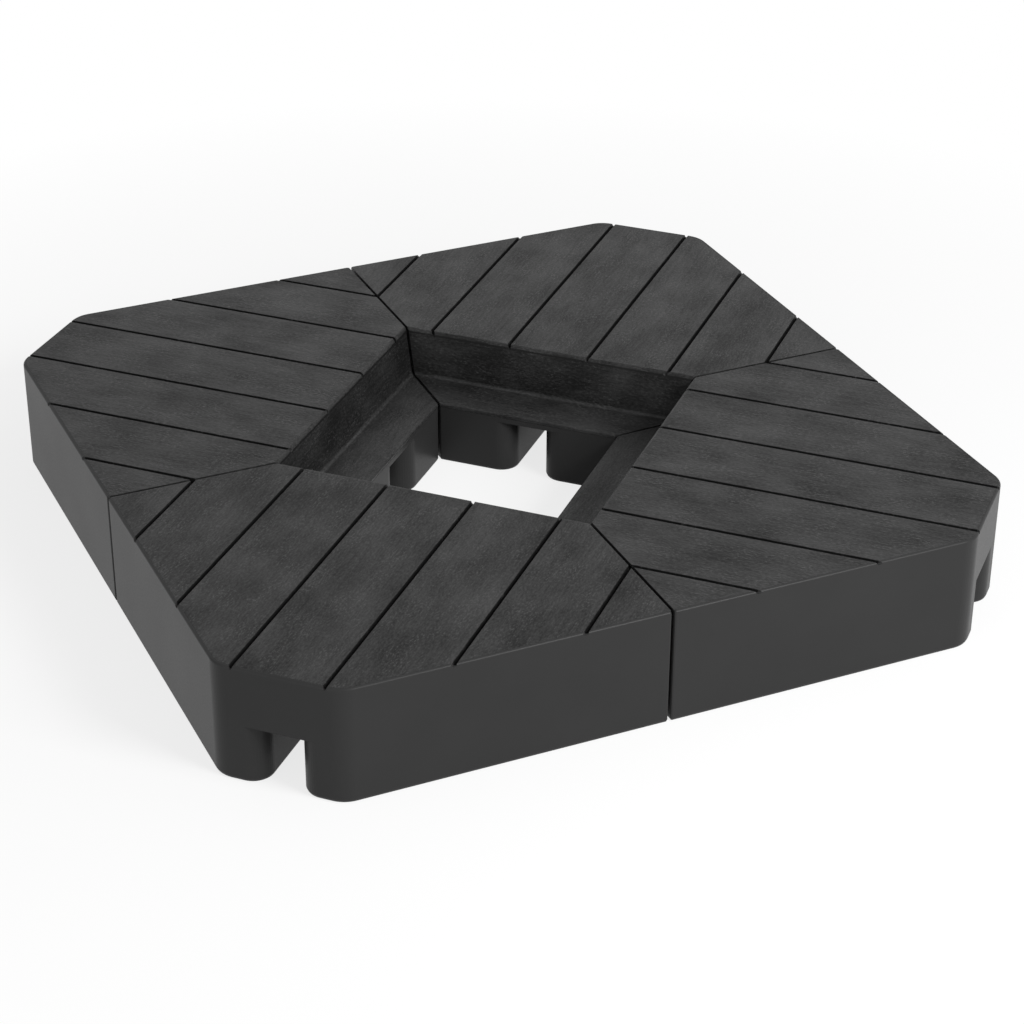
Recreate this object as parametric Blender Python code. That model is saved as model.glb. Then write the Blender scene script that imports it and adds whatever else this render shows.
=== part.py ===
"""Parasol base: four fillable corner weights that close round a parasol's cross foot.

Each weight is a hollow tank with a grooved board cover, a screw plug with its seal in a
pocket on one seam face, and a filling of water inside. One weight is modelled with its
outward direction along +X (u), its width along Y (v) and its height along Z, and the four
weights are that one turned about Z. Together they make a square with cut corners, whose
sides lie at 45 degrees to X and Y, and whose arm channels run along X and Y. The origin is
on the ground, at the middle of the opening. All sizes are in metres.
"""

import math

import bmesh
import bpy
from mathutils import Matrix, Vector

# Overall form
SIDE = 1.000  # side of the square that the four weights make
HEIGHT = 0.148  # ground to the top of the boards
CORNER_CUT = 0.106  # length taken off each side at a cut corner
SEAM_GAP = 0.0035  # space between two weights
HOLE_TOP = 0.405  # side of the square opening at the boards
HOLE_LOW = 0.250  # side of the square opening at the ground
LEDGE_HEIGHT = 0.0855  # ground to the ledge inside the opening
WALL_LEAN = math.radians(13.4)  # slope of the wall between ledge and boards

# Channel for an arm of the cross foot
CHANNEL_WIDTH = 0.040
LINTEL = 0.012  # top of the ledge to the roof of the channel

# Tank
WALL = 0.004
RIM = 0.0032  # edge of the tank that shows round the boards
RIM_RADIUS = 0.0030  # rounding along the top of the rim
FOOT_RADIUS = 0.004  # rounding along the underside
CORNER_RADIUS = 0.036  # upright edges beside a cut corner
SEAM_RADIUS = 0.0022  # upright edges beside a seam
MOUTH_RADIUS = 0.025  # upright edges of a channel's mouth
LEAST_RADIUS = 0.0006  # upright edges inside the tank and under the foot
FREEBOARD = 0.015  # air above the filling

# Board cover
PLATE = 0.008  # thickness under the boards
COVER_WALL = 0.005  # thickness of the leaning wall and of the ledge
BOARD_PITCH = 0.1109  # groove to groove
GROOVE_WIDTH = 0.0046
GROOVE_DEPTH = 0.0038
GROOVE_EASE = 0.0007  # softened edge of a groove
LEDGE_FILLET = 0.006
LIP_RADIUS = 0.0025
HOLE_EDGE_RADIUS = 0.0018

# Fill plug, its seal and its pocket
BORE_RADIUS = 0.018
SEAL_WIDTH = 0.0058
FLANGE_OVER = 0.0012  # the plug's flange reaches this far past the seal
PLUG_FLANGE = 0.004
FLANGE_BEVEL = 0.0012
PLUG_SHANK = 0.011
PLUG_NOSE = 0.0015  # chamfer on the shank's end
GRIP_LENGTH = 0.040
GRIP_WIDTH = 0.009
GRIP_HEIGHT = 0.009
GRIP_TAPER = 0.0012  # the grip narrows by this on each side
GRIP_ROUND = 0.8  # of half its width, at the grip's upright edges
SEAL = 0.003  # space that the seal fills
THREAD_PITCH = 0.006
PLUG_TURNS = 2  # turns that free the plug
FINGER_ROOM = 0.010  # round the plug, in its pocket
POCKET_EASE = 0.002  # chamfer at the mouth of the pocket
COLLAR_SPARE = 0.002  # length of the collar past the shank

# Clearances
FIT = 0.0003  # between pieces that touch
THREAD_FIT = 0.0003
SEAM_FIT = 0.001  # the freed plug stays this far inside its pocket

# Smoothness
CORNER_STEPS = 10
MOUTH_STEPS = 12
EDGE_STEPS = 5
RIM_STEPS = 4
SMALL_STEPS = 2
ROUND_SIDES = 28
SHARP_ANGLE = math.radians(31)

# Places that follow from the sizes above
ROOT_2 = math.sqrt(2.0)
SIDE_REACH = SIDE / ROOT_2  # u + v on an outer side
CUT_REACH = SIDE_REACH - CORNER_CUT / ROOT_2  # u on a cut corner
LIP = HOLE_LOW / 2
CHANNEL_HEIGHT = LEDGE_HEIGHT - LINTEL
SEAT = HEIGHT - PLATE - FIT  # top of the tank under the boards
PAST = 0.010  # how far a cutter runs past what it cuts
PLUG_TRAVEL = THREAD_PITCH * PLUG_TURNS
SEAL_RADIUS = BORE_RADIUS + SEAL_WIDTH
PLUG_RADIUS = SEAL_RADIUS + FLANGE_OVER
POCKET_RADIUS = PLUG_RADIUS + FINGER_ROOM
POCKET_DEPTH = SEAL + PLUG_FLANGE + GRIP_HEIGHT + PLUG_TRAVEL + SEAM_FIT
POCKET_HEIGHT = SEAT - 2 * WALL - POCKET_RADIUS
COLLAR = PLUG_SHANK + COLLAR_SPARE
POCKET_ALONG = (HOLE_TOP / ROOT_2 + SIDE / 2) / 2  # centre of the base to the pocket, along the seam

WEIGHTS = {"front": -90, "right": 0, "back": 90, "left": 180}  # degrees about Z

COLOURS = {  # linear red, green and blue, then roughness
    "tank": ((0.040, 0.040, 0.041), 0.42),
    "deck": ((0.052, 0.052, 0.053), 0.62),
    "fill_cap": ((0.018, 0.018, 0.018), 0.45),
    "cap_seal": ((0.008, 0.008, 0.008), 0.80),
    "ballast": ((0.22, 0.34, 0.40), 0.10),
}


def rounded(corners, radii, steps):
    """Round each corner of an outline: one list of points for each corner."""
    arcs = []
    count = len(corners)
    for index, corner in enumerate(corners):
        point = Vector(corner)
        before = (Vector(corners[index - 1]) - point).normalized()
        after = (Vector(corners[(index + 1) % count]) - point).normalized()
        if radii[index] <= 0:
            arcs.append([point])
            continue
        half = before.angle(after) / 2
        radius = radii[index]
        centre = point + (before + after).normalized() * (radius / math.sin(half))
        start = point + before * (radius / math.tan(half)) - centre
        end = point + after * (radius / math.tan(half)) - centre
        sweep = start.angle_signed(end)
        number = steps[index]
        turns = [Matrix.Rotation(-sweep * i / number, 2) for i in range(number + 1)]
        arcs.append([centre + turn @ start for turn in turns])
    return arcs


def joined(lists):
    """The points of several lists, one after another."""
    return [point for points in lists for point in points]


def finished(bm):
    """Close a bmesh into a mesh whose faces point outwards."""
    bmesh.ops.recalc_face_normals(bm, faces=bm.faces)
    mesh = bpy.data.meshes.new("form")
    bm.to_mesh(mesh)
    bm.free()
    return mesh


def skin(bm, low, high):
    """Faces between two rings of as many points."""
    for index, point in enumerate(low):
        following = (index + 1) % len(low)
        bm.faces.new((point, low[following], high[following], high[index]))


def lofted(*bodies):
    """Closed solids through equal rings of points, flat at both ends."""
    bm = bmesh.new()
    for rings in bodies:
        loops = [[bm.verts.new(point) for point in ring] for ring in rings]
        for low, high in zip(loops, loops[1:]):
            skin(bm, low, high)
        bm.faces.new(loops[0])
        bm.faces.new(loops[-1])
    return finished(bm)


def turned(profile, sides=ROUND_SIDES):
    """A solid turned about Z through (height, radius) steps."""
    angles = [2 * math.pi * i / sides for i in range(sides)]
    return lofted([
        [(radius * math.cos(a), radius * math.sin(a), height) for a in angles]
        for height, radius in profile
    ])


def upright(outline, low, high):
    """A solid standing on a (u, v) outline."""
    return lofted([[(u, v, z) for u, v in outline] for z in (low, high)])


def across(profile, half_width):
    """A solid with one (u, z) profile right across the weight."""
    return lofted([[(u, v, z) for u, z in profile] for v in (-half_width, half_width)])


def combine(body, tool, operation):
    """One mesh cut by, joined to or kept inside another."""
    pieces = [bpy.data.objects.new("piece", mesh) for mesh in (body, tool)]
    for piece in pieces:
        bpy.context.scene.collection.objects.link(piece)
    modifier = pieces[0].modifiers.new("combine", "BOOLEAN")
    modifier.operation = operation
    modifier.solver = "EXACT"
    modifier.object = pieces[1]
    depsgraph = bpy.context.evaluated_depsgraph_get()
    result = bpy.data.meshes.new_from_object(pieces[0].evaluated_get(depsgraph))
    for piece in pieces:
        bpy.data.objects.remove(piece)
    return result


def moved(mesh, matrix):
    """A copy of a mesh put elsewhere."""
    copy = mesh.copy()
    copy.transform(matrix)
    return copy


def wall_face(height, depth):
    """u of the leaning wall at a height, or of a surface that lies a depth behind it."""
    return HOLE_TOP / 2 - (HEIGHT - height) * math.tan(WALL_LEAN) + depth / math.cos(WALL_LEAN)


def plan_corners(inset, seam_inset, start):
    """Corners of half a weight from u = start: hole edge, seam, outer side and cut corner."""
    seam = ROOT_2 * (SEAM_GAP / 2 + seam_inset)
    reach = SIDE_REACH - ROOT_2 * inset
    cut = CUT_REACH - inset
    return [
        (start, start - seam),
        ((reach + seam) / 2, (reach - seam) / 2),
        (cut, reach - cut),
    ]


def leg_arcs(inset):
    """Rounded corners of one leg, drawn in by an inset, from the channel's outer mouth on."""
    wall = CHANNEL_WIDTH / 2 + inset
    mouths = [(CUT_REACH - inset, wall), (LIP + inset, wall)]
    corners = mouths + plan_corners(inset, inset, LIP + inset)
    full = [MOUTH_RADIUS, MOUTH_RADIUS, SEAM_RADIUS, SEAM_RADIUS, CORNER_RADIUS]
    radii = [max(radius - inset, LEAST_RADIUS) for radius in full]
    return rounded(corners, radii, [MOUTH_STEPS, MOUTH_STEPS, SMALL_STEPS, SMALL_STEPS, CORNER_STEPS])


def weight_form(foot, roof, body):
    """A weight's whole form: two legs from foot to roof, and one body above the channel.

    foot and body are lists of (height, inset) and roof is the height of the channel's roof.
    """
    bm = bmesh.new()
    inner = 2 * (MOUTH_STEPS + 1)
    first_ring = []
    roof_ring = []
    for side in (1, -1):
        rings = []
        for height, inset in foot + [(roof, foot[-1][1])]:
            arcs = leg_arcs(inset)
            rings.append([bm.verts.new((u, side * v, height)) for u, v in joined(arcs)])
        bm.faces.new(rings[0])
        for low, high in zip(rings, rings[1:]):
            skin(bm, low, high)
        channel = rings[-1][:inner]
        outside = rings[-1][inner - 1:] + rings[-1][:1]
        first_ring += outside if side > 0 else outside[::-1]
        roof_ring += channel if side > 0 else channel[::-1]
    bm.faces.new(roof_ring)
    low = first_ring
    for height, inset in body:
        arcs = leg_arcs(inset)
        chain = [arcs[1][-1]] + joined(arcs[2:]) + [arcs[0][0]]
        chain += [(u, -v) for u, v in reversed(chain)]
        high = [bm.verts.new((u, v, height)) for u, v in chain]
        skin(bm, low, high)
        low = high
    bm.faces.new(low)
    return finished(bm)


def recess(depth):
    """Cutter for the space over the ledge, taken a depth into the weight."""
    shelf = LEDGE_HEIGHT - depth
    top = HEIGHT + PAST
    profile = [
        (0.0, shelf),
        (wall_face(shelf, depth), shelf),
        (wall_face(top, depth), top),
        (0.0, top),
    ]
    return across(profile, SIDE)


def cover_outline(inset, seam_inset):
    """Outline of the board cover, seen from above."""
    corners = plan_corners(inset, seam_inset, LIP - PAST)
    radius = max(CORNER_RADIUS - inset, LEAST_RADIUS)
    corners += [(u, -v) for u, v in reversed(corners)]
    return joined(rounded(corners, [0, 0, radius, radius, 0, 0], [1, 1, CORNER_STEPS, CORNER_STEPS, 1, 1]))


def grooves():
    """Cutter for the grooves between boards, out through the hole edge and the outer edge."""
    ease = GROOVE_WIDTH / 2 + GROOVE_EASE
    half = GROOVE_WIDTH / 2
    floor = HEIGHT - GROOVE_DEPTH
    right = [
        (ease, HEIGHT + PAST),
        (ease, HEIGHT),
        (half, HEIGHT - GROOVE_EASE),
        (half, floor + half / 2),
        (half / 2, floor),
    ]
    section = right + [(-v, z) for v, z in reversed(right)]
    widest = SIDE_REACH / 2 - GROOVE_WIDTH
    count = int(widest / BOARD_PITCH + 0.5)
    places = [side * (i + 0.5) * BOARD_PITCH for i in range(count) for side in (-1, 1)]
    ends = (LIP - PAST, SIDE_REACH)
    return lofted(*[[[(u, place + v, z) for v, z in section] for u in ends] for place in places])


def boss(clearance):
    """The pocket's wall and the collar of the fill hole, as one solid on the pocket's axis."""
    collar = BORE_RADIUS + WALL + clearance
    shell = POCKET_RADIUS + WALL + clearance
    floor = -WALL - clearance
    return turned([
        (-COLLAR - clearance, collar),
        (floor, collar),
        (floor, shell),
        (POCKET_DEPTH + PAST, shell),
    ])


def pocket_place():
    """The middle of the pocket's floor, with its axis square out of the seam face."""
    along = Vector((1, 1, 0)) / ROOT_2
    out = Vector((-1, 1, 0)) / ROOT_2
    floor = along * POCKET_ALONG - out * (SEAM_GAP / 2 + POCKET_DEPTH)
    floor.z = POCKET_HEIGHT
    axes = Matrix((along, Vector((0, 0, -1)), out)).transposed()
    return Matrix.Translation(floor) @ axes.to_4x4()


def hollow(clearance, top):
    """The space inside a tank, less a clearance all round, up to a height."""
    inset = WALL + clearance
    space = weight_form([(inset, inset)], CHANNEL_HEIGHT + inset, [(top, inset)])
    space = combine(space, recess(COVER_WALL + FIT + inset), "DIFFERENCE")
    return combine(space, moved(boss(clearance), pocket_place()), "DIFFERENCE")


def tank():
    """The hollow tank: legs, channel, rim round the boards, plug pocket and fill hole."""
    bend = FOOT_RADIUS * (1 - math.sqrt(0.5))
    foot = [(0.0, FOOT_RADIUS), (bend, bend), (FOOT_RADIUS, 0.0)]
    turns = [math.pi / 2 * i / RIM_STEPS for i in range(RIM_STEPS + 1)]
    body = [(HEIGHT - RIM_RADIUS * (1 - math.sin(a)), RIM_RADIUS * (1 - math.cos(a))) for a in turns]
    form = weight_form(foot, CHANNEL_HEIGHT, body)
    form = combine(form, recess(COVER_WALL + FIT), "DIFFERENCE")
    form = combine(form, upright(cover_outline(RIM, -PAST), SEAT, HEIGHT + PAST), "DIFFERENCE")
    form = combine(form, grooves(), "DIFFERENCE")
    form = combine(form, hollow(0.0, SEAT - WALL), "DIFFERENCE")
    pocket = turned([
        (0.0, POCKET_RADIUS),
        (POCKET_DEPTH - POCKET_EASE, POCKET_RADIUS),
        (POCKET_DEPTH, POCKET_RADIUS + POCKET_EASE),
        (POCKET_DEPTH + PAST, POCKET_RADIUS + POCKET_EASE),
    ])
    bore = turned([(-COLLAR - PAST, BORE_RADIUS), (PAST, BORE_RADIUS)])
    form = combine(form, moved(pocket, pocket_place()), "DIFFERENCE")
    return combine(form, moved(bore, pocket_place()), "DIFFERENCE")


def deck():
    """The board cover: grooved boards, the leaning wall inside the opening, and the ledge."""
    under = HEIGHT - PLATE
    below = LEDGE_HEIGHT - COVER_WALL
    corners = [
        (LIP, LEDGE_HEIGHT),
        (wall_face(LEDGE_HEIGHT, 0), LEDGE_HEIGHT),
        (wall_face(HEIGHT, 0), HEIGHT),
        (SIDE_REACH, HEIGHT),
        (SIDE_REACH, under),
        (wall_face(under, COVER_WALL), under),
        (wall_face(below, COVER_WALL), below),
        (LIP, below),
    ]
    radii = [LIP_RADIUS, LEDGE_FILLET, HOLE_EDGE_RADIUS, 0, 0, 0, 0, 0]
    steps = [SMALL_STEPS, EDGE_STEPS, SMALL_STEPS, 1, 1, 1, 1, 1]
    form = across(joined(rounded(corners, radii, steps)), SIDE)
    outline = upright(cover_outline(RIM + FIT, 0.0), 0.0, HEIGHT + PAST)
    form = combine(form, outline, "INTERSECT")
    return combine(form, grooves(), "DIFFERENCE")


def fill_cap():
    """The screw plug, with its flange and grip, on Z from the pocket's floor."""
    shank = BORE_RADIUS - THREAD_FIT
    top = SEAL + PLUG_FLANGE
    plug = turned([
        (-PLUG_SHANK, shank - PLUG_NOSE),
        (-PLUG_SHANK + PLUG_NOSE, shank),
        (SEAL, shank),
        (SEAL, PLUG_RADIUS),
        (top - FLANGE_BEVEL, PLUG_RADIUS),
        (top, PLUG_RADIUS - FLANGE_BEVEL),
    ])
    rings = []
    for height, taper in ((SEAL + FIT, 0.0), (top + GRIP_HEIGHT, GRIP_TAPER)):
        x = GRIP_LENGTH / 2 - taper
        y = GRIP_WIDTH / 2 - taper
        corners = [(-x, -y), (x, -y), (x, y), (-x, y)]
        outline = joined(rounded(corners, [y * GRIP_ROUND] * 4, [EDGE_STEPS] * 4))
        rings.append([(px, py, height) for px, py in outline])
    return combine(plug, lofted(rings), "UNION")


def cap_seal():
    """The flat rubber ring under the plug's flange."""
    ring = turned([(FIT, SEAL_RADIUS), (SEAL - FIT, SEAL_RADIUS)])
    return combine(ring, turned([(-PAST, BORE_RADIUS), (PAST, BORE_RADIUS)]), "DIFFERENCE")


def ballast():
    """The filling, up to its level in the tank."""
    return hollow(FIT, SEAT - WALL - FREEBOARD)


def material(name):
    """A plain material in the piece's own colour."""
    colour, roughness = COLOURS[name]
    made = bpy.data.materials.new(name)
    made.use_nodes = True
    shader = made.node_tree.nodes["Principled BSDF"]
    shader.inputs["Base Color"].default_value = (*colour, 1.0)
    shader.inputs["Roughness"].default_value = roughness
    shader.inputs["Metallic"].default_value = 0.0
    return made


def finish(mesh, name):
    """Shade a mesh smooth over its round faces and give it its material."""
    mesh.shade_smooth()
    mesh.set_sharp_from_angle(angle=SHARP_ANGLE)
    mesh.materials.clear()
    mesh.materials.append(material(name))
    return mesh


def place(name, mesh, parent, matrix):
    """Put one piece on its weight."""
    piece = bpy.data.objects.new(name, mesh)
    bpy.context.scene.collection.objects.link(piece)
    piece.parent = parent
    piece.matrix_local = matrix
    return piece


def build():
    """Make the pieces of one weight, and set four of them round the opening."""
    for old in list(bpy.data.objects):
        bpy.data.objects.remove(old)
    makers = {
        "tank": tank,
        "deck": deck,
        "fill_cap": fill_cap,
        "cap_seal": cap_seal,
        "ballast": ballast,
    }
    meshes = {name: finish(make(), name) for name, make in makers.items()}
    at_plug = pocket_place()
    for side, turn in WEIGHTS.items():
        weight = bpy.data.objects.new("weight_" + side, None)
        weight.rotation_euler.z = math.radians(turn)
        bpy.context.scene.collection.objects.link(weight)
        for name, mesh in meshes.items():
            on_plug = name in ("fill_cap", "cap_seal")
            place(f"{name}_{side}", mesh, weight, at_plug if on_plug else Matrix())


build()
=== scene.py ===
"""The look of a parasol base, laid out as an add-on and run as a script.

Four fillable corner weights close round a square opening. The tanks keep their solids and get
a softened edge and a satin plastic. The board covers, the fill plugs and their seals are
surfaces worked out here on grids, in the place of their solids. All sizes are in metres, in
the frame of the solids: +Z is up, and the origin is on the ground at the middle of the opening.
One weight is worked out with u outwards along +X and v along Y, and turned to the other three.
"""

import math
from types import SimpleNamespace

import bmesh
import bpy
import numpy as np
from mathutils import Matrix, Vector


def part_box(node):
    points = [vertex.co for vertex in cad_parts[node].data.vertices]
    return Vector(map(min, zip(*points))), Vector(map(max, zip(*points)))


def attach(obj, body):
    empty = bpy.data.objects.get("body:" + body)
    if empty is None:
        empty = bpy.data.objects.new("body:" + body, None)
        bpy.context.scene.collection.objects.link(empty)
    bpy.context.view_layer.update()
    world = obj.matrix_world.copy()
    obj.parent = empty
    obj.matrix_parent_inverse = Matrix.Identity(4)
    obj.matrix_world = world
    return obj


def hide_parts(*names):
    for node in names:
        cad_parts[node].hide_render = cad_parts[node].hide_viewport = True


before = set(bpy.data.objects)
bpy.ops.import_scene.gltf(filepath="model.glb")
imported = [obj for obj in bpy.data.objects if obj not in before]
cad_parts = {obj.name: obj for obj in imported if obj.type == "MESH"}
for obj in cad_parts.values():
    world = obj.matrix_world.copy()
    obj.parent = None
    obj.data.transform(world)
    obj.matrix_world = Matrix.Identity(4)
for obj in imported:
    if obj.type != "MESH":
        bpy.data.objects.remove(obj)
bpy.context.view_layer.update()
COVER_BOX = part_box("deck_right")
SEAL_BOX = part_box("cap_seal_right")

bl_info = {
    "name": "Parasol base",
    "version": (1, 0, 0),
    "blender": (4, 5, 0),
    "location": "3D View > Sidebar > Parasol base",
    "description": "Dresses the corner weights of a parasol base and sets them in a pale studio",
    "category": "Object",
}

ROOT_2 = math.sqrt(2.0)
QUARTER_TURNS = {"front": -1, "right": 0, "back": 1, "left": 2}

# Points of the grids
ROUND_POINTS = 5  # on a small rounding
WALL_ROUND_POINTS = 9  # on the roundings of a leaning wall and its ledge
GRIP_ROUND_POINTS = 8  # on the rounded top of a plug's grip
SEAL_ROUND_POINTS = 6  # on the roundings of a seal
HOLE_ROWS = 28  # of boards, from the middle line to the end of the hole edge
TIP_ROWS = 20  # from there to the tip at a seam
CORNER_ROWS = 14  # on the rounding beside a cut corner
BOARD_COLUMNS = 26  # across the boards, between their rounded edges
PLUG_ANGLES = 181  # round a plug
GRIP_ANGLES = 97  # round its grip
SEAL_ANGLES = 121  # round a seal
FLOOR_POINTS = 13  # along a side of the floor
DECIMALS = 6  # points on rows and paths are kept to a micrometre

# Lengths and angles of the meshes
WALL_GAP = 0.006  # largest step down a leaning wall
PLUG_GAP = 0.0006  # largest step along a plug's profile, small enough for its thread
MERGE_DISTANCE = 0.000004  # points of two patches this close are one
SHARP_ANGLE = math.radians(50)  # faces that meet at more than this have a sharp edge
TANK_WELD = 0.00001  # points of a tank this close are one
TANK_EDGE = 0.0004  # softening of a tank's edges
TANK_EDGE_ANGLE = math.radians(35)  # edges of a tank that are blunter stay as they are
FLOOR_REACH = 12.0  # middle of the floor to its sides
SENSOR_WIDTH = 36.0  # of the camera, in millimetres

# Proportions of the small forms
EDGE_ROOM = 3  # a row of boards shorter than this many soft edges has shorter ones
GROOVE_DRAFT = 12  # half a groove's width is this many times the draft of its wall
FLANGE_ROUNDS = 4  # a flange is this many times as thick as the rounding of its edge
THREAD_FLATNESS = 1.6  # height of the thread's wave before its crests are cut flat
GRIP_ROUNDING = 0.5  # share of a grip's half width that its rounded top takes
GRIP_SINK = 1.5  # depth of a grip's foot in the flange, in roundings of the flange
SEAL_ROUNDING = 0.3  # rounding of a seal, as a share of its thickness
TINY = 1e-9  # a cosine smaller than this is 0

# Pattern of the wood effect
PATTERN = "pattern"  # name of its coordinates on a mesh
WALL_START = 4.0  # where the leaning wall starts in the boards' pattern, clear of the boards
PATTERN_SHIFT = 7.3  # along the boards, from one weight's pattern to the next one's
BOARD_SHIFT = 0.83  # along the boards, from one board's pattern to the next one's
STREAK_SHARE = 0.25  # of the streaks in the tone
FLECK_SHARE = 0.40  # of the flecks
BLOTCH_SHARE = 0.34  # of the blotches
FLECK_EDGES = (0.54, 0.70)  # noise at which a fleck starts to rise, and has risen
FLECK_RISE = 0.20  # how far it adds to the tone
CLUSTER_EDGES = (0.48, 0.62)  # noise at which a cluster of flecks starts, and is full
LONE_FLECKS = 0.1  # rise of the flecks outside the clusters, as a share of those inside
DULL_SHEEN = 0.4  # sheen of the darkest blotches, as a share of the lightest ones'
TONE_LOW = 0.39  # the tone of the dark colour
TONE_HIGH = 0.65  # the tone of the light colour
GROOVE_PAINTED_SHADE = 0.5  # painted shade in the grooves, as a share of the boards' tone
WALL_PAINTED_SHADE = 0.90  # painted shade on the wall, as a share of the boards' tone
LEDGE_PAINTED_LIGHT = 1.07  # painted light on the ledge, as a share of the wall's tone
LIP_PAINTED_LIGHT = 1.10  # painted light on the lip, as a share of the ledge's tone
PAINTED_SHADOW_TONE = 0.72  # painted shadow in the line under the wall's top edge
PAINTED_SHADOW_HALF = 0.0008  # half the width of that painted shadow line
PAINTED_HIGHLIGHT_TONE = 1.12  # painted highlight in the line at the wall's foot
PAINTED_HIGHLIGHT_HALF = 0.0020  # half the width of that painted highlight line
WALL_FADE = 0.0020  # way over which the boards' tone goes to the wall's painted shade
LEDGE_FADE = 0.001  # way over which the wall's painted shade goes to the ledge's

# Surfaces
MOST_NOISE = (0.35, 0.65)  # range that most of a noise lies in
WIDE_NOISE = (0.3, 0.7)  # range that nearly all of a noise lies in
BLOOM_NOISE = (0.35, 0.7)  # range of the noise from the seals' colour to their light tone
BOARD_IOR = 1.26  # refractive indices, which set how much a surface mirrors
PLASTIC_IOR = 1.20
WATER_IOR = 1.33
RUBBER_ROUGHNESS = (0.62, 0.82)
WATER_ROUGHNESS = (0.04, 0.10)
BOARD_WANDER = 0.06  # of the boards' roughness to both sides of its middle, with the tone
CLOUD_WANDER = 0.01  # of a plastic's roughness, with its clouds
SKIN_WANDER = 0.02  # of a plastic's roughness, with its fine skin
PLUG_CLOUDS = 1.3  # light tone of a plug, as a multiple of its colour
RUBBER_BLOOM = 1.6  # light tone of a seal
WATER_DRIFT = 1.15  # light tone of the filling
FLOOR_DRIFT = 0.01  # light tone of the floor, over its colour


def length(name, description, default):
    """A size in metres that a user can change."""
    return bpy.props.FloatProperty(
        name=name, description=description, default=default, unit="LENGTH", precision=4
    )


def share(name, description, default):
    """A value from 0 to 1 that a user can change."""
    return bpy.props.FloatProperty(
        name=name, description=description, default=default, subtype="FACTOR", min=0.0, max=1.0
    )


def colour(name, description, default):
    """A linear colour that a user can change."""
    return bpy.props.FloatVectorProperty(
        name=name, description=description, default=default, subtype="COLOR", min=0.0, max=1.0
    )


class CoverSizes(bpy.types.PropertyGroup):
    """Sizes of a board cover."""

    top: length("Top", "Height of the boards over the ground", COVER_BOX[1].z)
    lip: length("Lip", "Middle of the opening to the ledge's lip", COVER_BOX[0].x)
    reach: length("Reach", "Middle of the opening to the cover's cut corner", COVER_BOX[1].x)
    half_width: length("Half width", "Middle line to the cover's tip at a seam", COVER_BOX[1].y)
    opening: length("Opening", "Side of the square opening at the boards", 0.405)
    ledge: length("Ledge", "Height of the ledge over the ground", 0.0855)
    lean: bpy.props.FloatProperty(
        name="Lean",
        description="Slope of the wall between the ledge and the boards",
        default=math.radians(13.4),
        subtype="ANGLE",
    )
    plate: length("Plate", "Thickness under the boards", 0.008)
    wall: length("Wall", "Thickness of the leaning wall and of the ledge", 0.005)
    seam: length("Seam", "Space between two weights", 0.0035)
    corner: length("Corner", "Rounding beside a cut corner", 0.0325)
    pitch: length("Pitch", "Groove to groove", 0.1109)
    groove_width: length("Groove width", "Width of a groove between two boards", 0.0046)
    groove_depth: length("Groove depth", "Depth of a groove between two boards", 0.0060)
    groove_ease: length("Groove ease", "Rounding of a groove's edges", 0.0006)
    groove_foot: length("Groove foot", "Fall of a groove's floor to its middle line", 0.0025)
    ledge_fall: length("Ledge fall", "Fall of the ledge from the wall to its lip", 0.0025)
    fillet: length("Fillet", "Rounding between wall and ledge", 0.0045)
    hole_edge: length("Hole edge", "Rounding between boards and wall", 0.0045)
    lip_edge: length("Lip edge", "Rounding of the ledge's lip", 0.0025)
    soft_edge: length("Soft edge", "Rounding of the cover's other edges", 0.0004)
    spread: length("Spread", "How far the boards grow into the gap beside the tank's rim", 0.0002)


class PlugSizes(bpy.types.PropertyGroup):
    """Sizes of a fill plug and its seal."""

    bore: length("Bore", "Radius of the fill hole", 0.018)
    fit: length("Fit", "Clearance between pieces", 0.0003)
    seal: length("Seal", "Space that the seal fills", 0.003)
    flange: length("Flange", "Radius of the plug's flange", 0.025)
    flange_height: length("Flange height", "Thickness of the plug's flange", 0.004)
    shank: length("Shank", "Length of the threaded shank", 0.011)
    pitch: length("Pitch", "Travel in one turn of the thread", 0.006)
    thread: length("Thread", "Depth of the thread", 0.0012)
    flange_over: length("Flange over", "Reach of the flange past the seal", 0.0012)
    ribs: bpy.props.IntProperty(name="Ribs", description="Grip ribs round the flange", default=30)
    rib_depth: length("Rib depth", "Depth between two ribs", 0.0007)
    grip_length: length("Grip length", "Length of the grip across the plug", 0.040)
    grip_width: length("Grip width", "Width of the grip", 0.009)
    grip_height: length("Grip height", "Height of the grip over the flange", 0.009)
    grip_root: length("Grip root", "How far the grip has drawn in at the flange", 0.0005)
    grip_taper: length("Grip taper", "How far the grip has drawn in under its rounded top", 0.0012)


class Finishes(bpy.types.PropertyGroup):
    """Colours and gloss of the pieces."""

    board_dark: colour("Board, dark", "Hollows of the wood effect", (0.0060, 0.0060, 0.0060))
    board_light: colour("Board, light", "Ridges of the wood effect", (0.0400, 0.0400, 0.0400))
    board_gloss: share("Board roughness", "Middle roughness of the boards", 0.42)
    plastic_dark: colour("Plastic, dark", "Darker tone of the tank", (0.0237, 0.0237, 0.0237))
    plastic_light: colour("Plastic, light", "Lighter tone of the tank", (0.0253, 0.0253, 0.0253))
    plastic_gloss: share("Plastic roughness", "Middle roughness of the tank", 0.385)
    plug: colour("Plug", "Colour of the fill plugs", (0.0150, 0.0150, 0.0150))
    plug_gloss: share("Plug roughness", "Middle roughness of the fill plugs", 0.4)
    rubber: colour("Rubber", "Colour of the seals", (0.0080, 0.0080, 0.0080))
    water: colour("Water", "Colour of the filling", (0.22, 0.34, 0.40))


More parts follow.
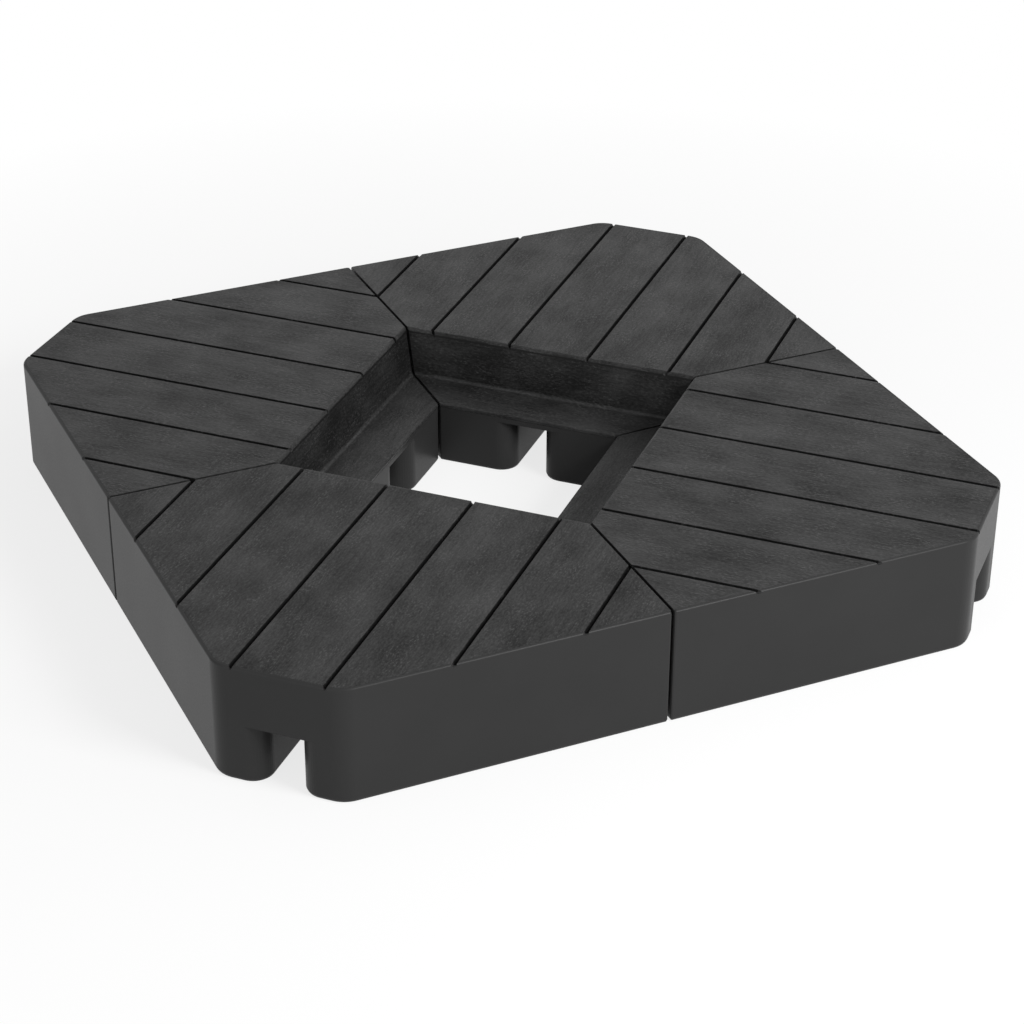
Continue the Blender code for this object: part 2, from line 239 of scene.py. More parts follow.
class StageSettings(bpy.types.PropertyGroup):
    """Camera, floor and light."""

    place: bpy.props.FloatVectorProperty(
        name="Camera place",
        description="Where the camera stands",
        default=(1.0638, -2.7319, 1.6954),
        subtype="TRANSLATION",
        unit="LENGTH",
    )
    target: bpy.props.FloatVectorProperty(
        name="Camera target",
        description="Point at the middle of the picture",
        default=(0.0590, -0.0840, 0.0695),
        subtype="TRANSLATION",
        unit="LENGTH",
    )
    roll: bpy.props.FloatProperty(
        name="Camera roll",
        description="Turn of the camera about its own line of sight",
        default=math.radians(0.26),
        subtype="ANGLE",
    )
    lens: bpy.props.FloatProperty(
        name="Focal length", description="On a sensor 36 mm wide", default=92.6, unit="CAMERA"
    )
    floor: colour("Floor", "Colour of the floor", (0.86, 0.86, 0.86))
    floor_glow: share("Floor glow", "Share of plain white in the seen floor near the base", 0.78)
    floor_near: length("Floor near", "The floor starts to fade to plain white this far out", 0.7)
    floor_far: length("Floor far", "The floor is plain white from here on", 1.5)
    sky: bpy.props.FloatProperty(
        name="Surround", description="Light that the white surround gives", default=0.43
    )
    softbox: bpy.props.FloatProperty(
        name="Softbox", description="Power of the large soft light", default=98.0, unit="POWER"
    )
    softbox_side: length("Softbox side", "Side of the large soft light", 1.1)
    softbox_place: bpy.props.FloatVectorProperty(
        name="Softbox place",
        description="Where the large soft light stands",
        default=(2.44, -0.89, 1.90),
        subtype="TRANSLATION",
        unit="LENGTH",
    )
    fill: bpy.props.FloatProperty(
        name="Fill", description="Power of the weak front light", default=18.0, unit="POWER"
    )
    fill_side: length("Fill side", "Side of the weak front light", 0.6)
    fill_place: bpy.props.FloatVectorProperty(
        name="Fill place",
        description="Where the weak front light stands",
        default=(-0.60, -3.20, 0.34),
        subtype="TRANSLATION",
        unit="LENGTH",
    )


def turned_to(points, side):
    """Points of the right-hand weight on another one: whole quarter turns about Z."""
    turns = QUARTER_TURNS[side]
    cosine = round(math.cos(turns * math.pi / 2))
    sine = round(math.sin(turns * math.pi / 2))
    x, y, z = np.moveaxis(points, -1, 0)
    return np.stack([cosine * x - sine * y, sine * x + cosine * y, z], axis=-1)


def skinned(name, patches):
    """One closed mesh from patches, each a grid of points with a grid of pattern coordinates.

    A patch of r by c points has (r - 1)(c - 1) faces, each on four neighbours of the grid.
    Patches that meet have the same points along their common edge, and these are merged.
    """
    points = np.concatenate([grid.reshape(-1, 3) for grid, _ in patches])
    pattern = np.concatenate([places.reshape(-1, 2) for _, places in patches])
    faces = []
    start = 0
    for grid, _ in patches:
        rows, columns = grid.shape[:2]
        index = start + np.arange(rows * columns).reshape(rows, columns)
        corners = [index[:-1, :-1], index[1:, :-1], index[1:, 1:], index[:-1, 1:]]
        faces.append(np.stack(corners, axis=-1).reshape(-1, 4))
        start += rows * columns
    faces = np.concatenate(faces)
    mesh = bpy.data.meshes.new(name)
    mesh.from_pydata(points.tolist(), [], faces.tolist())
    layer = mesh.uv_layers.new(name=PATTERN)
    layer.data.foreach_set("uv", pattern[faces.ravel()].ravel())
    bm = bmesh.new()
    bm.from_mesh(mesh)
    bmesh.ops.remove_doubles(bm, verts=bm.verts, dist=MERGE_DISTANCE)
    bmesh.ops.recalc_face_normals(bm, faces=bm.faces)
    bm.to_mesh(mesh)
    bm.free()
    mesh.shade_smooth()
    mesh.set_sharp_from_angle(angle=SHARP_ANGLE)
    piece = bpy.data.objects.new(name, mesh)
    bpy.context.scene.collection.objects.link(piece)
    return piece


def even_shading(piece):
    """Let the large faces set the shading beside small roundings."""
    weighted = piece.modifiers.new("even shading", "WEIGHTED_NORMAL")
    weighted.keep_sharp = True
    weighted.weight = 60


def stand_for(piece, node, body, finish):
    """Put a finished piece in the place of a solid."""
    piece.data.materials.append(finish)
    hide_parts(node)
    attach(piece, body)


def strip(first, second):
    """A patch one face wide between two lines of points."""
    grid = np.stack([first, second])
    return grid, grid[..., [1, 2]]


def quarter_drop(distance, radius):
    """How far a rounded edge falls at a distance from its foot: a quarter of a circle."""
    inside = np.clip(radius - distance, 0.0, radius)
    return radius - np.sqrt(radius**2 - inside**2)


def rounded_path(corners, radii, steps):
    """A path of (u, z) points through corners, each turned on an arc of its own radius.

    An arc touches both runs at radius / tan(half the corner's angle), and its points lie at
    even angles about a centre on the line that halves the corner.
    """
    corners = np.asarray(corners, float)
    path = [corners[:1]]
    for before, point, after, radius in zip(corners, corners[1:], corners[2:], radii):
        to_before = (before - point) / np.linalg.norm(before - point)
        to_after = (after - point) / np.linalg.norm(after - point)
        half = math.acos(np.clip(to_before @ to_after, -1.0, 1.0)) / 2
        middle = (to_before + to_after) / np.linalg.norm(to_before + to_after)
        centre = point + middle * radius / math.sin(half)
        first = point + to_before * radius / math.tan(half) - centre
        last = point + to_after * radius / math.tan(half) - centre
        sweep = math.pi - 2 * half
        share_of_arc = np.linspace(0.0, sweep, steps)[:, None]
        arc = first * np.sin(sweep - share_of_arc) + last * np.sin(share_of_arc)
        path.append(centre + arc / math.sin(sweep))
    return np.concatenate(path[1:] + [corners[-1:]])


def along(path):
    """Distance along a path of points, from its start."""
    steps = np.linalg.norm(np.diff(path, axis=0), axis=1)
    return np.concatenate([[0.0], np.cumsum(steps)])


def closer(path, gap):
    """The same path with points added on its straight runs, at most a gap apart."""
    run = along(path)
    even = np.linspace(0.0, run[-1], int(run[-1] / gap))
    stations = np.unique(np.round(np.concatenate([run, even]), DECIMALS))
    return np.stack([np.interp(stations, run, path[:, i]) for i in (0, 1)], axis=-1)


def groove_half(sizes):
    """Half the section of a groove, from its middle out: distances and depths.

    The floor falls to the middle like a V, the wall has a little draft, and the edge turns out
    on a quarter of a circle.
    """
    half = sizes.groove_width / 2
    draft = half / GROOVE_DRAFT
    turn = np.linspace(0.0, np.pi / 2, ROUND_POINTS)
    ease = sizes.groove_ease
    deepest = sizes.groove_depth
    edge_across = half + ease - ease * np.cos(turn)
    edge_depth = ease - ease * np.sin(turn)
    across = np.concatenate([[0.0, half - draft], edge_across])
    depth = np.concatenate([[deepest, deepest - sizes.groove_foot], edge_depth])
    return across, depth


def wall_path(sizes):
    """The leaning wall and the ledge as a path of (u, z) points, from the boards to under the lip.

    The second result is how far along the path three corners lie: hole edge, fillet and lip.
    """
    below = sizes.ledge - sizes.wall
    foot = sizes.ledge + sizes.ledge_fall
    base = sizes.opening / 2 - (sizes.top - foot) * math.tan(sizes.lean)
    corners = [
        (sizes.opening, sizes.top),
        (sizes.opening / 2, sizes.top),
        (base, foot),
        (sizes.lip, sizes.ledge),
        (sizes.lip, below),
        (sizes.lip + sizes.wall, below),
    ]
    radii = [sizes.hole_edge, sizes.fillet, sizes.lip_edge, sizes.soft_edge]
    path = closer(rounded_path(corners, radii, WALL_ROUND_POINTS), WALL_GAP)
    run = along(path)
    marks = [run[np.argmin(np.linalg.norm(path - corner, axis=1))] for corner in corners[1:4]]
    return path, marks


def cover_plan(sizes):
    """Lengths that the patches of a board cover share.

    A seam lies at u = |v| + gap and an outer side at u + |v| = side. The rounding beside a cut
    corner is an arc about (arc_u, arc_v) that ends at v = arc_end. The hole edge ends at half_hole,
    the boards end at the tip, and edge has the steps across a soft edge.
    """
    gap = sizes.seam / ROOT_2
    half_width = sizes.half_width + sizes.spread / ROOT_2
    reach = sizes.reach + sizes.spread
    corner = sizes.corner + sizes.spread
    side = 2 * half_width + gap
    arc_u = reach - corner
    arc_v = side - ROOT_2 * corner - arc_u
    radius = sizes.soft_edge
    wall, (_, fillet, _) = wall_path(sizes)
    return SimpleNamespace(
        gap=gap,
        half_width=half_width,
        reach=reach,
        corner=corner,
        side=side,
        arc_u=arc_u,
        arc_v=arc_v,
        arc_end=arc_v + corner / ROOT_2,
        radius=radius,
        edge=radius * (1 - np.cos(np.linspace(0.0, np.pi / 2, ROUND_POINTS))),
        tip=half_width - radius / 2,
        wall=wall,
        fillet=fillet,
        hole=wall[0, 0],
        half_hole=wall[0, 0] - gap,
    )


def board_rows(sizes, plan):
    """The rows of constant v that the boards have points on, and the grooves' depth on each."""
    across, depth = groove_half(sizes)
    count = int(plan.half_width / sizes.pitch + 0.5)
    middles = (np.arange(-count, count) + 0.5) * sizes.pitch
    offsets = np.concatenate([-across[:0:-1], across])
    marks = np.concatenate([
        np.linspace(0.0, plan.half_hole, HOLE_ROWS),
        plan.half_hole - ROOT_2 * plan.edge,
        np.linspace(plan.half_hole, plan.tip, TIP_ROWS),
        plan.tip - ROOT_2 * plan.edge,
        np.linspace(plan.arc_v, plan.arc_end, CORNER_ROWS),
    ])
    rows = np.concatenate([marks, -marks, (middles[:, None] + offsets).ravel()])
    rows = np.unique(np.round(rows[np.abs(rows) <= plan.tip], DECIMALS))[:, None]
    near = np.abs(rows - middles).min(axis=1)
    return rows, np.interp(near, across, depth, right=0.0)[:, None]


def board_grids(sizes, plan, rows, groove):
    """The boards, their underside, and the pattern of both.

    Each row runs in u from the hole edge, or from the seam, out to the cut corner, its rounding
    or the outer side. The height is the top less the deepest of three falls: the groove on that
    row, and the roundings of the seam and of the outer edge.
    """
    size = np.abs(rows)
    inner = np.where(size <= plan.half_hole, plan.hole, size + plan.gap)
    in_arc = np.clip((size - plan.arc_v) / plan.corner, 0.0, 1 / ROOT_2)
    round_u = plan.arc_u + plan.corner * np.sqrt(1 - in_arc**2)
    outer = np.where(size <= plan.arc_end, round_u, plan.side - size)
    outer = np.where(size <= plan.arc_v, plan.reach, outer)
    slant = 1 / np.sqrt(1 - in_arc**2)
    narrow = np.minimum(1.0, (outer - inner) / (EDGE_ROOM * ROOT_2 * plan.radius))
    first = inner + ROOT_2 * plan.edge * narrow
    last = outer - slant * plan.edge * narrow
    between = np.linspace(0.0, 1.0, BOARD_COLUMNS)[1:-1]
    middle = first[:, -1:] + (last[:, -1:] - first[:, -1:]) * between
    u = np.concatenate([first, middle, last[:, ::-1]], axis=1)
    v = np.broadcast_to(rows, u.shape)
    to_seam = (u - np.abs(v) - plan.gap) / ROOT_2
    on_arc = (np.abs(v) > plan.arc_v) & (u - plan.arc_u > np.abs(v) - plan.arc_v)
    to_arc = plan.corner - np.hypot(u - plan.arc_u, np.abs(v) - plan.arc_v)
    to_edge = np.minimum(plan.reach - u, (plan.side - u - np.abs(v)) / ROOT_2)
    to_edge = np.where(on_arc, to_arc, to_edge)
    fall = np.maximum(quarter_drop(to_seam, plan.radius), quarter_drop(to_edge, plan.radius))
    boards = np.stack([u, v, sizes.top - np.maximum(groove, fall)], axis=-1)
    under = np.stack([u, v, np.full_like(u, sizes.top - sizes.plate)], axis=-1)
    board = np.floor(v / sizes.pitch + 0.5)
    return boards, under, np.stack([u + BOARD_SHIFT * board, v], axis=-1)


def wall_grids(sizes, plan, rows, groove, rim):
    """The leaning wall with its ledge, their back, and the pattern of both.

    The wall is one (u, z) path, from the boards' rim down to the lip, carried along v and
    narrowed with u so that its ends lie in the seams. Its back has as many points.
    """
    path_u, path_z = plan.wall.T
    u = np.broadcast_to(path_u, (len(rows), len(path_u)))
    narrowing = (u - plan.gap) / plan.half_hole
    v = rows * narrowing
    to_seam = (u - plan.gap - np.abs(v)) / ROOT_2
    over_lip = path_z > sizes.ledge - sizes.wall / 2
    fall = np.where(over_lip, quarter_drop(to_seam, plan.radius), 0.0)
    z = np.minimum(path_z, sizes.top - groove) - fall
    z[:, 0] = rim
    face = np.stack([u, v, z], axis=-1)
    run = along(plan.wall)
    keys = [run[0], plan.fillet, run[-1]]
    behind = np.interp(plan.fillet, run, path_u) + sizes.wall / math.cos(sizes.lean)
    end_u, below = plan.wall[-1]
    back_u = np.interp(run, keys, [plan.hole, behind, end_u])
    back_z = np.interp(run, keys, [sizes.top - sizes.plate, below, below])
    back_v = rows * (back_u - plan.gap) / plan.half_hole
    back = np.stack(np.broadcast_arrays(back_u, back_v, back_z), axis=-1)
    return face, back, np.stack([v, np.broadcast_to(run + WALL_START, v.shape)], axis=-1)


def cover_patches(sizes):
    """A board cover as patches: boards, underside, leaning wall with ledge, its back, and edges."""
    plan = cover_plan(sizes)
    rows, groove = board_rows(sizes, plan)
    boards, under, grain = board_grids(sizes, plan, rows, groove)
    slack = plan.radius / 100
    places = rows[:, 0]
    held = np.abs(places) <= plan.half_hole + slack
    low_side = places <= -plan.half_hole + slack
    high_side = places >= plan.half_hole - slack
    rim = boards[held, 0, 2]
    face, back, wall_grain = wall_grids(sizes, plan, rows[held], groove[held], rim)
    return [
        (boards, grain),
        (under, grain),
        (face, wall_grain),
        (back, wall_grain),
        strip(boards[:, -1], under[:, -1]),
        strip(boards[low_side, 0], under[low_side, 0]),
        strip(boards[high_side, 0], under[high_side, 0]),
        strip(boards[0], under[0]),
        strip(boards[-1], under[-1]),
        strip(face[0], back[0]),
        strip(face[-1], back[-1]),
    ]


def turned_surface(radii, heights):
    """A surface of revolution as one patch: radii on a grid of angles by heights."""
    angles = np.linspace(0.0, 2 * np.pi, radii.shape[0])[:, None]
    angles[-1] = 0.0
    points = np.broadcast_arrays(radii * np.cos(angles), radii * np.sin(angles), heights)
    grid = np.stack(points, axis=-1)
    return grid, grid[..., [0, 2]]


def fade_in(height, start, ease):
    """0 up to a start, and 1 from an ease past it."""
    return np.clip((height - start) / ease, 0.0, 1.0)


def plug_body(sizes):
    """A fill plug's turned body on Z, from the pocket's floor.

    The profile goes from the middle of the shank's end out to the flange and back to the middle
    of its face. On the shank the radius dips with the thread: by its depth times a flat-topped
    wave of (angle / turn - height / pitch). On the flange's rim it dips with the ribs: by their
    depth times a wave of ribs times angle.
    """
    outer = sizes.bore - sizes.fit
    top = sizes.seal + sizes.flange_height
    ease = sizes.flange_height / FLANGE_ROUNDS
    corners = [
        (0.0, -sizes.shank),
        (outer, -sizes.shank),
        (outer, sizes.seal),
        (sizes.flange, sizes.seal),
        (sizes.flange, top),
        (outer, top),
        (outer - ease, top - ease),
        (0.0, top - ease),
    ]
    radii = [ease, ease / 4, ease / 4, ease, ease / 2, ease / 2]
    profile = rounded_path(corners, radii, ROUND_POINTS)
    profile = closer(np.concatenate([corners[:1], profile]), PLUG_GAP)
    around = np.linspace(0.0, 1.0, PLUG_ANGLES)[:, None]
    radius, height = profile.T
    wave = THREAD_FLATNESS * np.cos(2 * np.pi * (around - height / sizes.pitch))
    wave = np.clip(wave, -1.0, 1.0)
    threaded = fade_in(height, ease - sizes.shank, ease) * fade_in(-height, 0.0, ease)
    on_shank = threaded * (radius > outer - ease)
    ribs = 0.5 + 0.5 * np.cos(2 * np.pi * sizes.ribs * around)
    ribbed = fade_in(height, sizes.seal, ease) * fade_in(-height, -top, ease)
    on_rim = ribbed * (radius > sizes.flange - ease)
    thread = on_shank * sizes.thread * (0.5 - 0.5 * wave)
    return turned_surface(radius - thread - on_rim * ribs * sizes.rib_depth, height)


def plug_grip(sizes):
    """The grip across a fill plug: a stack of rounded rectangles.

    They draw in towards the top on a quarter of a circle and close on the grip's middle line.
    """
    top = sizes.seal + sizes.flange_height
    level = top + sizes.grip_height
    floor = top - GRIP_SINK * sizes.flange_height / FLANGE_ROUNDS
    wide = sizes.grip_width / 2
    core = sizes.grip_length / 2 - wide
    edge = wide * GRIP_ROUNDING
    turn = np.linspace(0.0, np.pi / 2, GRIP_ROUND_POINTS)
    drawn = sizes.grip_taper + edge * (1 - np.cos(turn))
    risen = level - edge * (1 - np.sin(turn))
    draw = np.concatenate([[wide, 0.0, sizes.grip_root], drawn, [wide]])[:, None]
    rise = np.concatenate([[floor, floor, top], risen, [level]])[:, None]
    angle = np.linspace(0.0, 2 * np.pi, GRIP_ANGLES)
    angle[-1] = 0.0
    end = np.sign(np.cos(angle)) * (np.abs(np.cos(angle)) > TINY)
    x = end * core + (wide - draw) * np.cos(angle)
    y = (wide - draw) * np.sin(angle)
    grip = np.stack(np.broadcast_arrays(x, y, rise), axis=-1)
    return grip, grip[..., [0, 2]]


def plug_patches(sizes):
    """A fill plug as patches on Z: its turned body, and the grip across it."""
    return [plug_body(sizes), plug_grip(sizes)]


def seal_patches(sizes):
    """A seal on Z: a rounded rectangle of its width and thickness carried round a circle."""
    inner = sizes.bore
    outer = sizes.flange - sizes.flange_over
    low = sizes.fit
    high = sizes.seal - sizes.fit
    start = ((inner + outer) / 2, low)
    corners = [start, (outer, low), (outer, high), (inner, high), (inner, low), start]
    radii = [(high - low) * SEAL_ROUNDING] * 4
    section = rounded_path(corners, radii, SEAL_ROUND_POINTS)
    section = np.concatenate([[start], section])
    radii = np.broadcast_to(section[:, 0], (SEAL_ANGLES, len(section)))
    return [turned_surface(radii, section[:, 1])]


def at_plug(patches, sizes):
    """Patches on Z, moved to the fill hole of the right-hand weight, with Z out of the seam."""
    out = np.array([-1.0, 1.0, 0.0]) / ROOT_2
    flat = np.array([1.0, 1.0, 0.0]) / ROOT_2
    down = np.array([0.0, 0.0, -1.0])
    floor = np.array((SEAL_BOX[0] + SEAL_BOX[1]) / 2) - out * sizes.seal / 2
    axes = np.stack([flat, down, out])
    return [(floor + grid @ axes, pattern) for grid, pattern in patches]


def new_material(name):
    """An empty node material with its output and main shader."""
    made = bpy.data.materials.new(name)
    made.use_nodes = True
    return made, made.node_tree, made.node_tree.nodes["Principled BSDF"]


def add(tree, kind, **inputs):
    """A new shader node, whose inputs are values or other nodes' outputs."""
    made = tree.nodes.new(kind)
    for name, value in inputs.items():
        socket = made.inputs[name.replace("_", " ")]
        if isinstance(value, bpy.types.NodeSocket):
            tree.links.new(value, socket)
        else:
            socket.default_value = value
    return made


def own_place(tree):
    """Places in metres in the piece's own frame."""
    return tree.nodes.new("ShaderNodeTexCoord").outputs["Object"]


def noise(tree, place, stretch, detail, rough):
    """Noise on coordinates stretched by cells per metre along each axis."""
    mapped = add(tree, "ShaderNodeMapping", Vector=place, Scale=stretch)
    made = add(
        tree,
        "ShaderNodeTexNoise",
        Vector=mapped.outputs["Vector"],
        Scale=1.0,
        Detail=detail,
        Roughness=rough,
    )
    return made.outputs["Fac"]


def calculate(tree, operation, first, second):
    """One sum, product or other operation of two values."""
    made = tree.nodes.new("ShaderNodeMath")
    made.operation = operation
    for socket, value in zip(made.inputs, (first, second)):
        if isinstance(value, bpy.types.NodeSocket):
            tree.links.new(value, socket)
        else:
            socket.default_value = value
    return made.outputs["Value"]


def span(tree, value, low, high, to_low, to_high):
    """A value taken from one range to another, and held inside it."""
    made = add(
        tree,
        "ShaderNodeMapRange",
        Value=value,
        From_Min=low,
        From_Max=high,
        To_Min=to_low,
        To_Max=to_high,
    )
    return made.outputs["Result"]


def band(tree, value, middle, half):
    """1 within half a width of a middle value, falling to 0 at the whole width."""
    away = calculate(tree, "ABSOLUTE", calculate(tree, "SUBTRACT", value, middle), 0.0)
    return span(tree, away, half, 2 * half, 1.0, 0.0)


def tones(tree, value, low, high, dark, light):
    """A colour from dark to light as a value goes from low to high."""
    ramp = tree.nodes.new("ShaderNodeValToRGB")
    ramp.color_ramp.elements[0].position = low
    ramp.color_ramp.elements[0].color = (*dark, 1.0)
    ramp.color_ramp.elements[1].position = high
    ramp.color_ramp.elements[1].color = (*light, 1.0)
    tree.links.new(value, ramp.inputs["Fac"])
    return ramp.outputs["Color"]


def relief(tree, shader, height, depth, strength):
    """Raise the shading by a height, with its full range a depth in metres."""
    bump = add(tree, "ShaderNodeBump", Height=height, Distance=depth, Strength=strength)
    tree.links.new(bump.outputs["Normal"], shader.inputs["Normal"])


def paler(tone, times):
    """A colour some times as light."""
    return [min(1.0, value * times) for value in tone]


def wood_figure(tree, place):
    """The noises of the wood effect: its broad blotches, and its figure of streaks and flecks.

    The streaks run along the pattern's first axis. The flecks are short dashes, raised where
    they come in clusters.
    """
    blotches = noise(tree, place, (11.0, 16.0, 1.0), detail=4.0, rough=0.5)
    streaks = noise(tree, place, (26.0, 190.0, 1.0), detail=4.0, rough=0.6)
    flecks = noise(tree, place, (190.0, 430.0, 1.0), detail=3.0, rough=0.65)
    clusters = noise(tree, place, (20.0, 32.0, 1.0), detail=3.0, rough=0.6)
    clusters = span(tree, clusters, *CLUSTER_EDGES, LONE_FLECKS, 1.0)
    raised = span(tree, flecks, *FLECK_EDGES, 0.0, FLECK_RISE)
    raised = calculate(tree, "MULTIPLY", raised, clusters)
    figure = calculate(tree, "MULTIPLY", streaks, STREAK_SHARE)
    figure = calculate(tree, "ADD", figure, calculate(tree, "MULTIPLY", flecks, FLECK_SHARE))
    return blotches, calculate(tree, "ADD", figure, raised)


def out_of_grooves(tree, across, sizes):
    """1 on the boards and the wall, and 0 in the grooves, which lie at odd halves of the pitch,
    where it lets in painted shade.
    """
    from_middle = calculate(tree, "PINGPONG", across, sizes.pitch / 2)
    edge = (sizes.pitch - sizes.groove_width) / 2
    ease = sizes.groove_ease
    on_board = span(tree, from_middle, edge - ease, edge + ease, 1.0, 0.0)
    on_wall = span(tree, across, WALL_START - 1.0, WALL_START, 0.0, 1.0)
    return calculate(tree, "MAXIMUM", on_board, on_wall)


def paint_wall_light_and_shade(tree, tone, across, sizes):
    """The tone with painted light and shade on the leaning wall and its ledge.

    Painted shade makes the wall darker than the boards, with a painted shadow line under its top
    edge and a painted highlight line at its foot, and painted light makes the ledge lighter
    towards its lip.
    """
    hole_edge, fillet, lip = (WALL_START + mark for mark in wall_path(sizes)[1])
    top = hole_edge + sizes.hole_edge
    painted_shadow_line = band(tree, across, top, PAINTED_SHADOW_HALF)
    painted_highlight_line = band(tree, across, fillet, PAINTED_HIGHLIGHT_HALF)
    shades = (
        span(tree, painted_shadow_line, 0.0, 1.0, 1.0, PAINTED_SHADOW_TONE),
        span(tree, painted_highlight_line, 0.0, 1.0, 1.0, PAINTED_HIGHLIGHT_TONE),
        span(tree, across, top - WALL_FADE, top, 1.0, WALL_PAINTED_SHADE),
        span(tree, across, fillet - LEDGE_FADE, fillet, 1.0, LEDGE_PAINTED_LIGHT),
        span(tree, across, fillet, lip, 1.0, LIP_PAINTED_LIGHT),
    )
    for shade in shades:
        tone = calculate(tree, "MULTIPLY", tone, shade)
    return tone


def wood_effect(finishes, sizes):
    """Moulded boards: streaks, broad blotches and clusters of flecks, on the pieces' pattern.

    Dark blotches have a duller sheen than light ones. The grooves get painted shade: a darker
    tone and no sheen. The wall's share of the pattern starts at WALL_START on the second axis.
    """
    made, tree, shader = new_material("moulded wood effect")
    place = tree.nodes.new("ShaderNodeUVMap")
    place.uv_map = PATTERN
    place = place.outputs["UV"]
    across = add(tree, "ShaderNodeSeparateXYZ", Vector=place).outputs["Y"]
    blotches, figure = wood_figure(tree, place)
    open_face = out_of_grooves(tree, across, sizes)
    tone = calculate(tree, "ADD", figure, calculate(tree, "MULTIPLY", blotches, BLOTCH_SHARE))
    # painted shade, a painted shadow line and painted highlights on the wall and the ledge
    tone = paint_wall_light_and_shade(tree, tone, across, sizes)
    # painted shade in the grooves: their tone is lowered
    tone = calculate(tree, "MULTIPLY", tone, span(tree, open_face, 0.0, 1.0, GROOVE_PAINTED_SHADE, 1.0))
    colours = tones(tree, tone, TONE_LOW, TONE_HIGH, finishes.board_dark, finishes.board_light)
    dullest = finishes.board_gloss + BOARD_WANDER
    glossiest = finishes.board_gloss - BOARD_WANDER
    roughness = span(tree, tone, TONE_LOW, TONE_HIGH, dullest, glossiest)
    sheen = span(tree, blotches, *WIDE_NOISE, DULL_SHEEN, 1.0)
    # painted shade in the grooves: their sheen is taken away
    sheen = calculate(tree, "MULTIPLY", sheen, open_face)
    tree.links.new(colours, shader.inputs["Base Color"])
    tree.links.new(roughness, shader.inputs["Roughness"])
    tree.links.new(sheen, shader.inputs["Specular Tint"])
    shader.inputs["IOR"].default_value = BOARD_IOR
    relief(tree, shader, figure, depth=0.0009, strength=0.6)
    return made


def satin_plastic(name, dark, light, gloss):
    """Smooth moulded plastic: faint cloudy tone, a fine skin, and gloss that wanders a little."""
    made, tree, shader = new_material(name)
    place = own_place(tree)
    clouds = noise(tree, place, (9.0, 9.0, 9.0), detail=3.0, rough=0.5)
    skin = noise(tree, place, (420.0, 420.0, 420.0), detail=2.0, rough=0.5)
    tree.links.new(tones(tree, clouds, *MOST_NOISE, dark, light), shader.inputs["Base Color"])
    broad = span(tree, clouds, *MOST_NOISE, gloss - CLOUD_WANDER, gloss + CLOUD_WANDER)
    fine = span(tree, skin, *MOST_NOISE, -SKIN_WANDER, SKIN_WANDER)
    tree.links.new(calculate(tree, "ADD", broad, fine), shader.inputs["Roughness"])
    shader.inputs["IOR"].default_value = PLASTIC_IOR
    relief(tree, shader, skin, depth=0.00006, strength=0.25)
    return made


def rubber(finishes):
    """Dull seal rubber with a fine bloom."""
    made, tree, shader = new_material("seal rubber")
    place = own_place(tree)
    bloom = noise(tree, place, (260.0, 260.0, 260.0), detail=3.0, rough=0.6)
    dark = finishes.rubber
    light = paler(dark, RUBBER_BLOOM)
    tree.links.new(tones(tree, bloom, *BLOOM_NOISE, dark, light), shader.inputs["Base Color"])
    tree.links.new(span(tree, bloom, *WIDE_NOISE, *RUBBER_ROUGHNESS), shader.inputs["Roughness"])
    relief(tree, shader, bloom, depth=0.00008, strength=0.3)
    return made


def water(finishes):
    """The filling: water with a faint drift of tone."""
    made, tree, shader = new_material("filling water")
    place = own_place(tree)
    drift = noise(tree, place, (6.0, 6.0, 12.0), detail=2.0, rough=0.5)
    dark = finishes.water
    light = paler(dark, WATER_DRIFT)
    tree.links.new(tones(tree, drift, *WIDE_NOISE, dark, light), shader.inputs["Base Color"])
    tree.links.new(span(tree, drift, *WIDE_NOISE, *WATER_ROUGHNESS), shader.inputs["Roughness"])
    shader.inputs["IOR"].default_value = WATER_IOR
    return made


def paint(node, finish):
    """Give a solid that stays its finish."""
    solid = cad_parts[node]
    solid.data.materials.clear()
    solid.data.materials.append(finish)
    return solid


class PARASOLBASE_OT_tanks(bpy.types.Operator):
    """Give the four tanks a softened edge and a satin plastic"""

    bl_idname = "parasol_base.tanks"
    bl_label = "Tanks"

    def execute(self, context):
        finishes = context.scene.parasol_finishes
        plastic = satin_plastic(
            "tank plastic", finishes.plastic_dark, finishes.plastic_light, finishes.plastic_gloss
        )
        for side in QUARTER_TURNS:
            tank = paint("tank_" + side, plastic)
            weld = tank.modifiers.new("weld", "WELD")
            weld.merge_threshold = TANK_WELD
            bevel = tank.modifiers.new("soft edges", "BEVEL")
            bevel.width = TANK_EDGE
            bevel.segments = 2
            bevel.limit_method = "ANGLE"
            bevel.angle_limit = TANK_EDGE_ANGLE
            bevel.harden_normals = True
            even_shading(tank)
        return {"FINISHED"}


class PARASOLBASE_OT_covers(bpy.types.Operator):
    """Make the four board covers with their grooves, leaning wall and ledge"""

    bl_idname = "parasol_base.covers"
    bl_label = "Board covers"

    def execute(self, context):
        sizes = context.scene.parasol_covers
        finish = wood_effect(context.scene.parasol_finishes, sizes)
        patches = cover_patches(sizes)
        for side, turns in QUARTER_TURNS.items():
            shift = (turns * PATTERN_SHIFT, 0.0)
            turned = [(turned_to(grid, side), pattern + shift) for grid, pattern in patches]
            cover = skinned("board_cover_" + side, turned)
            even_shading(cover)
            stand_for(cover, "deck_" + side, "weight_" + side, finish)
        return {"FINISHED"}


class PARASOLBASE_OT_plugs(bpy.types.Operator):
    """Make the four fill plugs with their thread, ribs and grip"""

    bl_idname = "parasol_base.plugs"
    bl_label = "Fill plugs"

    def execute(self, context):
        finishes = context.scene.parasol_finishes
        sizes = context.scene.parasol_plugs
        light = paler(finishes.plug, PLUG_CLOUDS)
        finish = satin_plastic("plug plastic", finishes.plug, light, finishes.plug_gloss)
        patches = at_plug(plug_patches(sizes), sizes)
        for side in QUARTER_TURNS:
            turned = [(turned_to(grid, side), pattern) for grid, pattern in patches]
            plug = skinned("fill_plug_" + side, turned)
            stand_for(plug, "fill_cap_" + side, "plug_" + side, finish)
        return {"FINISHED"}


